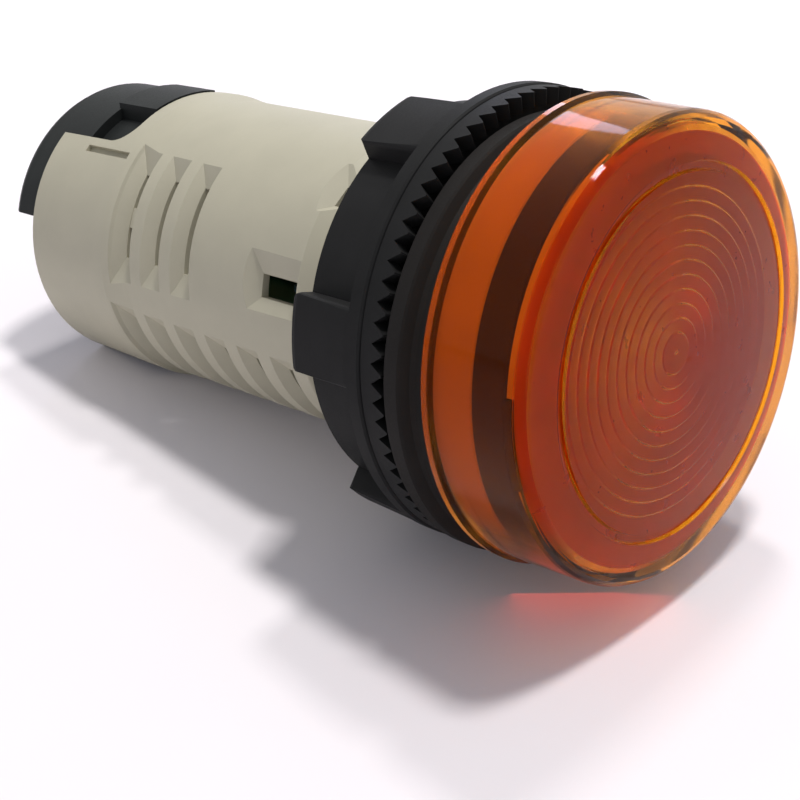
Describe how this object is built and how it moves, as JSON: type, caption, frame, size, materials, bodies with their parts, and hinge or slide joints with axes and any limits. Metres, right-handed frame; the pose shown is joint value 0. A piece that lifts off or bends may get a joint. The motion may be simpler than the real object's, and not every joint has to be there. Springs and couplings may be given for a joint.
{
  "type": "panel pilot light",
  "caption": "Round panel indicator light with an amber lens, a vented moulded body, a toothed ring nut and screw terminals at the rear.",
  "frame": {"origin": "on the axis of the light, at the rear face of its gasket, which is where the panel's front face comes", "axes": "-Y is the way the lens looks, +Y runs back along the body to the terminals, +Z is the top of the light"},
  "size_m": [0.029, 0.0536, 0.029],
  "materials": {
    "lens": "clear amber, polished",
    "reflector": "white, satin",
    "collar": "black, smooth",
    "led_board": "white solder mask",
    "leds": "yellowish clear resin",
    "header_pins": "tinned, bright",
    "housing": "cream, fine satin",
    "gasket": "black, smooth",
    "nut": "black, satin",
    "driver_board": "green solder mask",
    "capacitor": "yellow film case",
    "smoothing_capacitor": "dark sleeve",
    "rectifier": "black moulded",
    "resistors": "pale blue lacquer",
    "varistor": "blue lacquer",
    "terminal_block": "black, satin",
    "contacts": "bright",
    "clamps": "zinc plated",
    "screws": "zinc plated"
  },
  "bodies": {
    "base": {"lens": "lens", "reflector": "reflector", "collar": "collar", "led_board": "led_board", "leds": "leds", "header_pins": "header_pins", "housing": "housing", "gasket": "gasket", "driver_board": "driver_board", "capacitor": "capacitor", "smoothing_capacitor": "smoothing_capacitor", "rectifier": "rectifier", "resistors": "resistors", "varistor": "varistor", "terminal_block": "terminal_block", "contact_x1": "contacts", "contact_x2": "contacts"},
    "nut": {"nut": "nut"},
    "clamp_x1": {"clamp_x1": "clamps"},
    "clamp_x2": {"clamp_x2": "clamps"},
    "screw_x1": {"screw_x1": "screws"},
    "screw_x2": {"screw_x2": "screws"}
  },
  "joints": [
    {"name": "nut_travel", "type": "slide", "parent": "base", "child": "nut", "axis": [0, 1, 0], "range_m": [-0.00015, 0.008]},
    {"name": "clamp_x1_lift", "type": "slide", "parent": "base", "child": "clamp_x1", "axis": [0, 1, 0], "range_m": [0, 0.0015]},
    {"name": "screw_x1_turn", "type": "hinge", "parent": "clamp_x1", "child": "screw_x1", "pos_m": [-0.0056, 0.03845, 0], "axis": [0, 1, 0], "range_deg": [0, 1080]},
    {"name": "clamp_x2_lift", "type": "slide", "parent": "base", "child": "clamp_x2", "axis": [0, 1, 0], "range_m": [0, 0.0015]},
    {"name": "screw_x2_turn", "type": "hinge", "parent": "clamp_x2", "child": "screw_x2", "pos_m": [0.0056, 0.03845, 0], "axis": [0, 1, 0], "range_deg": [0, 1080]}
  ],
  "couplings": [
    {"joint": "screw_x1_turn", "follows": "clamp_x1_lift", "rad_per_m": 12566},
    {"joint": "screw_x2_turn", "follows": "clamp_x2_lift", "rad_per_m": 12566}
  ]
}
